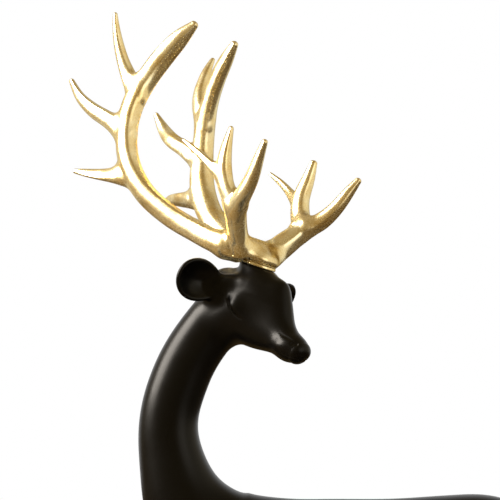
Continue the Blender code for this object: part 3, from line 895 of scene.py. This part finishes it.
def field_slope(points, field, small):
    """Slope of a field: the difference between a small step on and one back, over both, by axis."""
    small = np.broadcast_to(small, len(points))[:, None]
    rises = [field(points + small * axis) - field(points - small * axis) for axis in np.eye(3)]
    return np.stack(rises, axis=1) / (2.0 * small)


def slide_to_zero(points, field, rounds):
    """Newton steps to where the field is zero: along the slope, the value over its square."""
    for _ in range(rounds):
        value = field(points)
        slope = np.stack([(field(points + shift) - value) / PROBE for shift in PROBE * np.eye(3)], axis=1)
        step = value / np.maximum((slope**2).sum(axis=1), LEAST_SLOPE)
        points = points - slope * np.clip(step, -LONGEST_STEP, LONGEST_STEP)[:, None]
    return points


def relax(points, edges, share):
    """Each point moves a share of the way to the mean of its neighbours."""
    own = np.concatenate((edges[:, 0], edges[:, 1]))
    other = np.concatenate((edges[:, 1], edges[:, 0]))
    total = np.stack([np.bincount(own, points[other, k], len(points)) for k in range(3)], axis=1)
    return points + share * (total / np.bincount(own, minlength=len(points))[:, None] - points)


def even_out(points, edges, field, rounds):
    """Rounds of relaxing the net and sliding it back onto the surface."""
    for _ in range(rounds):
        points = slide_to_zero(relax(points, edges, RELAX_SHARE), field, 1)
    return points


def joined_mesh(name, skins):
    """One mesh of closed skins, each turned so that its signed volume is positive."""
    mesh = bpy.data.meshes.new(name)
    points = []
    faces = []
    total = 0
    for own, quads, fans in skins:
        halves = np.vstack((quads[:, :3], quads[:, [0, 2, 3]], fans))
        corners = own[halves]
        volume = (np.cross(corners[:, 0], corners[:, 1]) * corners[:, 2]).sum()
        if volume < 0.0:
            quads = quads[:, ::-1]
            fans = fans[:, ::-1]
        points.append(own)
        faces += (quads + total).tolist() + (fans + total).tolist()
        total += len(own)
    mesh.from_pydata((np.vstack(points) * MM).tolist(), [], faces)
    mesh.update()
    return mesh


def settle(obj):
    """Writes the modifiers of an object into its mesh."""
    graph = bpy.context.evaluated_depsgraph_get()
    graph.update()
    mesh = bpy.data.meshes.new_from_object(obj.evaluated_get(graph))
    old = obj.data
    obj.modifiers.clear()
    obj.data = mesh
    bpy.data.meshes.remove(old)


def mesh_points(mesh):
    """Vertices in millimetres and the edges as pairs of vertex numbers."""
    points = np.empty(len(mesh.vertices) * 3)
    mesh.vertices.foreach_get("co", points)
    edges = np.empty(len(mesh.edges) * 2, int)
    mesh.edges.foreach_get("vertices", edges)
    return points.reshape(-1, 3) / MM, edges.reshape(-1, 2)


def write_points(mesh, points):
    """Puts vertices given in millimetres back into the mesh."""
    mesh.vertices.foreach_set("co", (points * MM).ravel())
    mesh.update()


def refine(mesh, chosen):
    """Cuts every edge between two chosen vertices in half."""
    shape = bmesh.new()
    shape.from_mesh(mesh)
    shape.verts.ensure_lookup_table()
    marks = chosen.tolist()
    edges = [edge for edge in shape.edges if marks[edge.verts[0].index] and marks[edge.verts[1].index]]
    bmesh.ops.subdivide_edges(shape, edges=edges, cuts=1, use_grid_fill=True)
    shape.to_mesh(mesh)
    shape.free()


def stretched(points, back=False):
    """Space about the lens place: radii times a factor up to its reach, then in even steps to its end.

    The radius is a broken line through three places, and back is the same line read the other way.
    """
    offset = points - np.array(LENS_PLACE)
    radius = np.linalg.norm(offset, axis=1)
    near = (0.0, LENS_REACH, LENS_END, 2.0 * LENS_END)
    far = (0.0, LENS_REACH * LENS_FACTOR, LENS_END, 2.0 * LENS_END)
    new = np.interp(radius, far, near) if back else np.interp(radius, near, far)
    return np.array(LENS_PLACE) + offset * (new / np.maximum(radius, 1e-9))[:, None]


def cast_skin(name, skins, grain, field, areas=(), lens=False):
    """Melts joined skins into one net of even quads and slides it onto the field's surface.

    Each area is a function of the points that says where the net is made twice as fine. With
    the lens the net is cast in the stretched space, which makes it finer about the head.
    """
    if lens:
        skins = [(stretched(points), quads, fans) for points, quads, fans in skins]
    obj = bpy.data.objects.new(name, joined_mesh(name, skins))
    bpy.context.scene.collection.objects.link(obj)
    melt = obj.modifiers.new("melt", "REMESH")
    melt.mode = "VOXEL"
    melt.voxel_size = grain
    settle(obj)
    points, edges = mesh_points(obj.data)
    if lens:
        points = stretched(points, back=True)
    points = even_out(points, edges, field, MELT_ROUNDS)
    write_points(obj.data, points)
    for area in areas:
        refine(obj.data, area(points))
        points, edges = mesh_points(obj.data)
        points = even_out(points, edges, field, AREA_ROUNDS)
    points = slide_to_zero(points, field, LAST_SLIDES)
    write_points(obj.data, points)
    return obj


def smooth_shading(mesh, points, field, small, turn=None):
    """Shades a mesh by the slope of its field, turned into the world when a turn is given."""
    normals = unit(field_slope(points, field, small))
    if turn is not None:
        normals = normals @ turn
    mesh.shade_smooth()
    mesh.normals_split_custom_set_from_vertices(normals.tolist())


def value_group(name, inputs, outputs):
    """A node group with named inputs and outputs, and its two end nodes."""
    group = bpy.data.node_groups.new(name, "ShaderNodeTree")
    for label, default in inputs:
        socket = group.interface.new_socket(label, in_out="INPUT", socket_type="NodeSocketFloat")
        socket.default_value = default
    for label in outputs:
        group.interface.new_socket(label, in_out="OUTPUT", socket_type="NodeSocketFloat")
    return group, group.nodes.new("NodeGroupInput"), group.nodes.new("NodeGroupOutput")


def connect(tree, joints):
    """Links between nodes, each as a node and its output, then the next node and its input."""
    for first, output, second, place in joints:
        tree.links.new(first.outputs[output], second.inputs[place])


def colour_mix(tree, first, second):
    """A mix of two colours."""
    mix = tree.nodes.new("ShaderNodeMix")
    mix.data_type = "RGBA"
    mix.inputs["A"].default_value = (*first, 1.0)
    mix.inputs["B"].default_value = (*second, 1.0)
    return mix


def soft_step(tree, levels):
    """A value that rises from zero to one between two levels, smoothly at both ends."""
    step = tree.nodes.new("ShaderNodeMapRange")
    step.interpolation_type = "SMOOTHSTEP"
    step.inputs["From Min"].default_value = levels[0]
    step.inputs["From Max"].default_value = levels[1]
    return step


def mottle_group():
    """Soft cloudy value from two sizes of noise, mapped between Low and High, and a fine height."""
    name = "Soft mottle"
    if name in bpy.data.node_groups:
        return bpy.data.node_groups[name]
    inputs = (("Cloud scale", 40.0), ("Grain scale", 600.0), ("Low", 0.0), ("High", 1.0))
    group, start, end = value_group(name, inputs, ("Value", "Height"))
    place = group.nodes.new("ShaderNodeTexCoord")
    cloud = group.nodes.new("ShaderNodeTexNoise")
    cloud.inputs["Detail"].default_value = 3.0
    fine = group.nodes.new("ShaderNodeTexNoise")
    fine.inputs["Detail"].default_value = 2.0
    mix = group.nodes.new("ShaderNodeMix")
    mix.inputs["Factor"].default_value = 0.35
    spread = group.nodes.new("ShaderNodeMapRange")
    spread.inputs["From Min"].default_value = 0.32
    spread.inputs["From Max"].default_value = 0.62
    connect(group, (
        (place, "Object", cloud, "Vector"),
        (place, "Object", fine, "Vector"),
        (start, "Cloud scale", cloud, "Scale"),
        (start, "Grain scale", fine, "Scale"),
        (cloud, "Fac", mix, "A"),
        (fine, "Fac", mix, "B"),
        (mix, "Result", spread, "Value"),
        (start, "Low", spread, "To Min"),
        (start, "High", spread, "To Max"),
        (spread, "Result", end, "Value"),
        (fine, "Fac", end, "Height"),
    ))
    return group


def mottled(tree, cloud_scale, grain_scale, low=0.0, high=1.0):
    """Places the mottle group in a material's nodes with its own values."""
    node = tree.nodes.new("ShaderNodeGroup")
    node.node_tree = mottle_group()
    values = {"Cloud scale": cloud_scale, "Grain scale": grain_scale, "Low": low, "High": high}
    for label, value in values.items():
        node.inputs[label].default_value = value
    return node


def raised(tree, node, distance, strength):
    """Bump from a group's height into the shader's normal."""
    bump = tree.nodes.new("ShaderNodeBump")
    bump.inputs["Distance"].default_value = distance
    bump.inputs["Strength"].default_value = strength
    shader = tree.nodes["Principled BSDF"]
    connect(tree, ((node, "Height", bump, "Height"), (bump, "Normal", shader, "Normal")))


def new_material(name):
    """A new material with its nodes and its Principled shader."""
    material = bpy.data.materials.new(name)
    material.use_nodes = True
    return material, material.node_tree, material.node_tree.nodes["Principled BSDF"]


def satin_black(name, finishes):
    """Satin black paint: nearly black, with a roughness that drifts a little over the surface."""
    material, tree, shader = new_material(name)
    shader.inputs["Base Color"].default_value = (*finishes.black, 1.0)
    shader.inputs["Metallic"].default_value = 0.0
    shader.inputs["Specular IOR Level"].default_value = finishes.black_gloss
    mean = finishes.black_roughness
    cloud = mottled(tree, 45.0, 900.0, mean - BLACK_DRIFT, mean + BLACK_DRIFT)
    connect(tree, ((cloud, "Value", shader, "Roughness"),))
    raised(tree, cloud, distance=0.00004, strength=0.25)
    return material


def pale_gold(name, finishes):
    """Pale gold leaf: light gold clouded with a deeper one, softly polished, with browner edges."""
    material, tree, shader = new_material(name)
    shader.inputs["Metallic"].default_value = finishes.gold_metal
    shader.inputs["Specular Tint"].default_value = (*GOLD_EDGES, 1.0)
    tone = mottled(tree, 60.0, 1100.0)
    mix = colour_mix(tree, finishes.gold_deep, finishes.gold_light)
    connect(tree, ((tone, "Value", mix, "Factor"), (mix, "Result", shader, "Base Color")))
    mean = finishes.gold_roughness
    gloss = mottled(tree, 90.0, 1300.0, mean - GOLD_DRIFT[0], mean + GOLD_DRIFT[1])
    connect(tree, ((gloss, "Value", shader, "Roughness"),))
    raised(tree, gloss, distance=0.00005, strength=0.15)
    return material


def white_stage(name, finishes):
    """Plain pale matt floor, given a dark brown instead where the glossy figurine reflects it: painted
    shade in the figurine's reflections.
    """
    material, tree, shader = new_material(name)
    rays = tree.nodes.new("ShaderNodeLightPath")
    # Painted shade: glossy rays see a dark brown floor, which darkens and warms the figurine's reflections
    # of it
    mix = colour_mix(tree, finishes.floor, finishes.floor_painted_shade)
    connect(tree, ((rays, "Is Glossy Ray", mix, "Factor"), (mix, "Result", shader, "Base Color")))
    shader.inputs["Roughness"].default_value = 0.9
    shader.inputs["Specular IOR Level"].default_value = 0.0
    return material


def finish_piece(obj, node, material):
    """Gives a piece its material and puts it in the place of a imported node."""
    obj.data.materials.clear()
    obj.data.materials.append(material)
    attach(obj, "root")
    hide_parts(node)


def length_setting(name, description, value, least=0.0):
    """A setting in metres, not below the least."""
    words = {"name": name, "description": description}
    return FloatProperty(**words, default=value, min=least, unit="LENGTH", subtype="DISTANCE")


def share_setting(name, description, value):
    """A setting between zero and one."""
    words = {"name": name, "description": description}
    return FloatProperty(**words, default=value, min=0.0, max=1.0, subtype="FACTOR")


def colour_setting(name, description, value):
    """A colour, each part of it between zero and one."""
    words = {"name": name, "description": description}
    return FloatVectorProperty(**words, default=value, min=0.0, max=1.0, subtype="COLOR")


def light_setting(name, description, value, unit="NONE"):
    """A power or a brightness, not below zero."""
    return FloatProperty(name=name, description=description, default=value, min=0.0, unit=unit)


class ReindeerSizes(PropertyGroup):
    """Sizes of the pieces."""

    deer_grain: length_setting(
        "Deer grain", "Spacing of the net on the black casting away from the head", 2.8 * MM, 0.8 * MM
    )
    antler_grain: length_setting(
        "Antler grain", "Spacing of the net on the gold casting", 0.9 * MM, 0.5 * MM
    )
    base_length: length_setting("Base length", "Length of the oval base from front to back", 312.0 * MM)
    base_width: length_setting("Base width", "Width of the oval base", 134.0 * MM)
    base_thickness: length_setting("Base thickness", "Thickness of the oval base", 12.0 * MM)
    base_edge: length_setting("Base edge", "Radius of the rounded upper edge of the base", 3.0 * MM)
    base_sides: IntProperty(
        name="Base sides", description="Number of points round the base", default=192, min=48
    )


class ReindeerFinishes(PropertyGroup):
    """Colours and gloss."""

    black: colour_setting("Black", "Colour of the satin black paint", (0.0014, 0.0013, 0.0011))
    black_roughness: share_setting("Black roughness", "Mean roughness of the black paint", 0.31)
    black_gloss: share_setting(
        "Black gloss", "How strongly the black paint reflects, 0.5 being a clear varnish", 0.19
    )
    gold_light: colour_setting("Light gold", "Lighter tone of the gold leaf", (1.0, 0.93, 0.65))
    gold_deep: colour_setting("Deep gold", "Deeper tone of the gold leaf", (0.8, 0.6, 0.25))
    gold_metal: share_setting(
        "Gold metal", "Share of the gold that is bare metal, the rest being the matt leaf between", 0.94
    )
    gold_roughness: share_setting("Gold roughness", "Mean roughness of the gold leaf", 0.24)
    floor: colour_setting("Floor", "Colour of the floor", (0.86, 0.86, 0.86))
    # Painted shade: the darker brown that the floor shows only in the figurine's reflections, darkening the
    # undersides of the black and the gold
    floor_painted_shade: colour_setting(
        "Mirrored floor", "Colour of the floor in the reflections of the figurine", (0.1, 0.07, 0.03)
    )


class ReindeerStudio(PropertyGroup):
    """Soft lights, surroundings and floor."""

    key_power: light_setting("Key light", "Power of the soft light on the left", 72.0, "POWER")
    key_size: length_setting("Key size", "Width of both soft lights", 0.9)
    fill_power: light_setting("Fill light", "Power of the weak light on the right", 3.0, "POWER")
    behind: light_setting(
        "Light from behind", "Brightness of the pale surroundings behind the figurine", 1.0
    )
    front: light_setting(
        "Light from the front", "Brightness of the surroundings on the viewer's side", 0.3
    )
    side: light_setting(
        "Light from the right", "Brightness of the surroundings on the viewer's right", 0.9
    )
    floor_radius: length_setting("Floor radius", "Radius of the round floor", 2.2)


class ReindeerDeer(Operator):
    """Builds the black casting: trunk, legs, tail, head, ears and crown boss"""

    bl_idname = "reindeer.deer"
    bl_label = "Black deer"

    def execute(self, context):
        sizes = context.scene.reindeer_sizes
        body, skull, ears = deer_limbs()
        skins = [limb_skin(shape, 32) for shape in body]
        own = [limb_skin(skull, 32), disc(SEAT_RADIUS, SEAT_LEVEL - BOSS_REACH, 0.0)]
        own += [bowl_skin(ear) for ear in ears]
        own += [limb_skin(ear["stalk"]) for ear in ears]
        for points, quads, fans in own:
            points[:, 2] = np.minimum(points[:, 2], seat_plane(points, SEAT_GAP))
            skins.append((from_head(points), quads, fans))
        for points, _, _ in skins:
            points[:, 2] = np.maximum(points[:, 2], SOLE_LEVEL)

        def field(points):
            return deer_field(points, body, skull, ears)

        def hoof_area(points):
            return points[:, 2] < HOOF_AREA

        def detail_area(points):
            own = to_head(points)
            own[:, 0] = np.abs(own[:, 0])
            eye = np.linalg.norm(own - np.array(EYE_MIDDLE), axis=1) < EYE_AREA
            nose = (own[:, 1] > NOSE_AREA[0]) & (own[:, 2] < NOSE_AREA[1])
            bowl = np.linalg.norm(own - np.array(NEAR_EAR_MIDDLE), axis=1) < EAR_AREA
            return eye | nose | bowl

        areas = ((hoof_area, detail_area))
        deer = cast_skin("deer_casting", skins, sizes.deer_grain, field, areas, lens=True)
        points = mesh_points(deer.data)[0]
        away = np.linalg.norm(points - np.array(LENS_PLACE), axis=1)
        plain = ramp(away, BODY_FADE) * ramp(points[:, 2], HOOF_FADE)
        smooth_shading(deer.data, points, field, SLOPE_STEP + (BODY_STEP - SLOPE_STEP) * plain)
        finish_piece(deer, "deer", satin_black("satin_black_paint", context.scene.reindeer_finishes))
        return {"FINISHED"}


class ReindeerAntlers(Operator):
    """Builds the gold casting: two antlers on one saddle with a round collar"""

    bl_idname = "reindeer.antlers"
    bl_label = "Gold antlers"

    def execute(self, context):
        sizes = context.scene.reindeer_sizes
        limbs = antler_limbs()
        skins = []
        for shape, _, _ in limbs:
            points, quads, fans = limb_skin(shape)
            skins.append((points, quads, fans))
            skins.append((points * np.array((-1.0, 1.0, 1.0)), quads, fans))
        hub = ball_skin((0.0, 0.0, HUB_LEVEL), HUB_RADII)
        collar = disc(COLLAR_RADIUS, 0.0, COLLAR_HEIGHT + EXCESS)
        for points, _, _ in (hub, collar):
            points[:, 2] += seat_plane(points)
        skins.append(hub)
        for points, _, _ in skins:
            level = seat_plane(points) + COLLAR_HEIGHT
            close = np.hypot(points[:, 0], points[:, 1]) < PLUG_RADIUS
            points[:, 2] = np.where(close, np.maximum(points[:, 2], level), points[:, 2])
        skins.append(collar)
        grain = sizes.antler_grain * 1.0

        def field(points):
            return antler_field(points, limbs)

        def off_seam(points):
            return np.abs(seat_height(points) - SEAM_LEVEL)

        def collar_area(points):
            close = np.hypot(points[:, 0], points[:, 1]) < PLUG_RADIUS + EXCESS
            return close & (off_seam(points) < SEAM_FADE[0])

        areas = ((collar_area,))
        antlers = cast_skin("antler_casting", skins, grain, field, areas)
        points, _ = mesh_points(antlers.data)
        write_points(antlers.data, from_head(points))
        small = SLOPE_STEP + (ANTLER_STEP - SLOPE_STEP) * ramp(off_seam(points), SEAM_FADE)
        smooth_shading(antlers.data, points, field, small, head_turn())
        finish_piece(antlers, "antlers", pale_gold("pale_gold_leaf", context.scene.reindeer_finishes))
        return {"FINISHED"}


class ReindeerBase(Operator):
    """Builds the low oval base"""

    bl_idname = "reindeer.base"
    bl_label = "Oval base"

    def execute(self, context):
        sizes = context.scene.reindeer_sizes
        edge = sizes.base_edge
        thick = sizes.base_thickness
        lower = edge * np.array(LOWER_EDGE)
        turn = np.linspace(0.0, math.pi / 2, EDGE_STEPS)
        inset = np.concatenate((lower, edge * (1.0 - np.cos(turn))))
        level = np.concatenate((lower[::-1], thick - edge + edge * np.sin(turn)))
        angle = round_angles(sizes.base_sides)
        rings = np.stack((
            (sizes.base_length / 2 - inset)[:, None] * np.cos(angle),
            (sizes.base_width / 2 - inset)[:, None] * np.sin(angle),
            np.repeat(level[:, None], len(angle), axis=1),
        ), axis=-1)
        base = bpy.data.objects.new("oval_base", joined_mesh("oval_base", [tube(rings / MM)]))
        bpy.context.scene.collection.objects.link(base)
        base.data.shade_smooth()
        finish_piece(base, "base", satin_black("satin_black_base", context.scene.reindeer_finishes))
        return {"FINISHED"}


class ReindeerStage(Operator):
    """Sets up the camera, the two soft lights, the surroundings and the pale floor"""

    bl_idname = "reindeer.stage"
    bl_label = "Studio"

    def execute(self, context):
        scene = context.scene
        studio = scene.reindeer_studio
        lens = bpy.data.cameras.new("camera")
        lens.lens = FOCAL_PIXELS / PICTURE_PIXELS * SENSOR_WIDTH
        lens.sensor_width = SENSOR_WIDTH
        camera = bpy.data.objects.new("camera", lens)
        camera.location = CAMERA_PLACE
        camera.rotation_euler = (math.radians(90.0) + CAMERA_PITCH, 0.0, 0.0)
        scene.collection.objects.link(camera)
        scene.camera = camera
        angle = round_angles(FLOOR_SIDES)
        circle = np.stack((np.cos(angle), np.sin(angle), 0.0 * angle), axis=-1) * studio.floor_radius
        floor_mesh = bpy.data.meshes.new("floor")
        floor_mesh.from_pydata(circle.tolist(), [], [list(range(FLOOR_SIDES))])
        floor_mesh.materials.append(white_stage("floor_white", scene.reindeer_finishes))
        floor = bpy.data.objects.new("floor", floor_mesh)
        scene.collection.objects.link(floor)
        soft_light("key_light", KEY_PLACE, KEY_TARGET, studio.key_size, studio.key_power, KEY_COLOUR)
        soft_light("fill_light", FILL_PLACE, KEY_TARGET, studio.key_size, studio.fill_power, FILL_COLOUR)
        surroundings(scene, studio.behind, studio.front, studio.side)
        scene.view_settings.view_transform = "Standard"
        return {"FINISHED"}


def soft_light(name, place, target, size, power, colour):
    """A rectangular soft light that faces the target."""
    data = bpy.data.lights.new(name, "AREA")
    data.shape = "RECTANGLE"
    data.size = size
    data.size_y = size * LIGHT_TALLER
    data.energy = power
    data.color = colour
    light = bpy.data.objects.new(name, data)
    light.location = place
    light.rotation_euler = (Vector(target) - Vector(place)).to_track_quat("-Z", "Y").to_euler()
    light.visible_camera = False
    bpy.context.scene.collection.objects.link(light)


def surroundings(scene, behind, front, side):
    """World light: white to the camera, and for all else soft steps from front to right and behind."""
    world = bpy.data.worlds.new("studio")
    scene.world = world
    world.use_nodes = True
    tree = world.node_tree
    nodes = tree.nodes
    nodes.clear()
    place = nodes.new("ShaderNodeTexCoord")
    split = nodes.new("ShaderNodeSeparateXYZ")
    back_step = soft_step(tree, BEHIND_STEP)
    side_step = soft_step(tree, SIDE_STEP)
    front_light = [front * part for part in FRONT_COLOUR]
    side_light = [side * part for part in SIDE_COLOUR]
    room = colour_mix(tree, front_light, side_light)
    tint = colour_mix(tree, front_light, (behind, behind, behind))
    tone = nodes.new("ShaderNodeBackground")
    plain = nodes.new("ShaderNodeBackground")
    plain.inputs["Color"].default_value = (1.0, 1.0, 1.0, 1.0)
    rays = nodes.new("ShaderNodeLightPath")
    choice = nodes.new("ShaderNodeMixShader")
    end = nodes.new("ShaderNodeOutputWorld")
    connect(tree, (
        (place, "Generated", split, "Vector"),
        (split, "Y", back_step, "Value"),
        (split, "X", side_step, "Value"),
        (side_step, "Result", room, "Factor"),
        (room, "Result", tint, "A"),
        (back_step, "Result", tint, "Factor"),
        (tint, "Result", tone, "Color"),
        (rays, "Is Camera Ray", choice, "Fac"),
        (tone, "Background", choice, 1),
        (plain, "Background", choice, 2),
        (choice, "Shader", end, "Surface"),
    ))


class ReindeerPanel(Panel):
    """Sizes, finishes and light of the figurine, with a button for each piece"""

    bl_idname = "VIEW3D_PT_reindeer"
    bl_label = "Reindeer figurine"
    bl_space_type = "VIEW_3D"
    bl_region_type = "UI"
    bl_category = "Reindeer"

    def draw(self, context):
        layout = self.layout
        for group in (
            context.scene.reindeer_sizes,
            context.scene.reindeer_finishes,
            context.scene.reindeer_studio,
        ):
            column = layout.column()
            for name in group.__annotations__:
                column.prop(group, name)
        for operator in PIECES:
            layout.operator(operator.bl_idname)


PIECES = (ReindeerDeer, ReindeerAntlers, ReindeerBase, ReindeerStage)
CLASSES = (ReindeerSizes, ReindeerFinishes, ReindeerStudio, *PIECES, ReindeerPanel)


def register():
    """Registers the classes and hangs the settings on the scene."""
    for item in CLASSES:
        bpy.utils.register_class(item)
    bpy.types.Scene.reindeer_sizes = PointerProperty(type=ReindeerSizes)
    bpy.types.Scene.reindeer_finishes = PointerProperty(type=ReindeerFinishes)
    bpy.types.Scene.reindeer_studio = PointerProperty(type=ReindeerStudio)


def unregister():
    """Takes the settings and the classes away again."""
    del bpy.types.Scene.reindeer_studio
    del bpy.types.Scene.reindeer_finishes
    del bpy.types.Scene.reindeer_sizes
    for item in reversed(CLASSES):
        bpy.utils.unregister_class(item)


def main():
    """Builds every piece and the studio."""
    register()
    bpy.ops.reindeer.stage()
    bpy.ops.reindeer.base()
    bpy.ops.reindeer.antlers()
    bpy.ops.reindeer.deer()


if __name__ == "__main__":
    main()
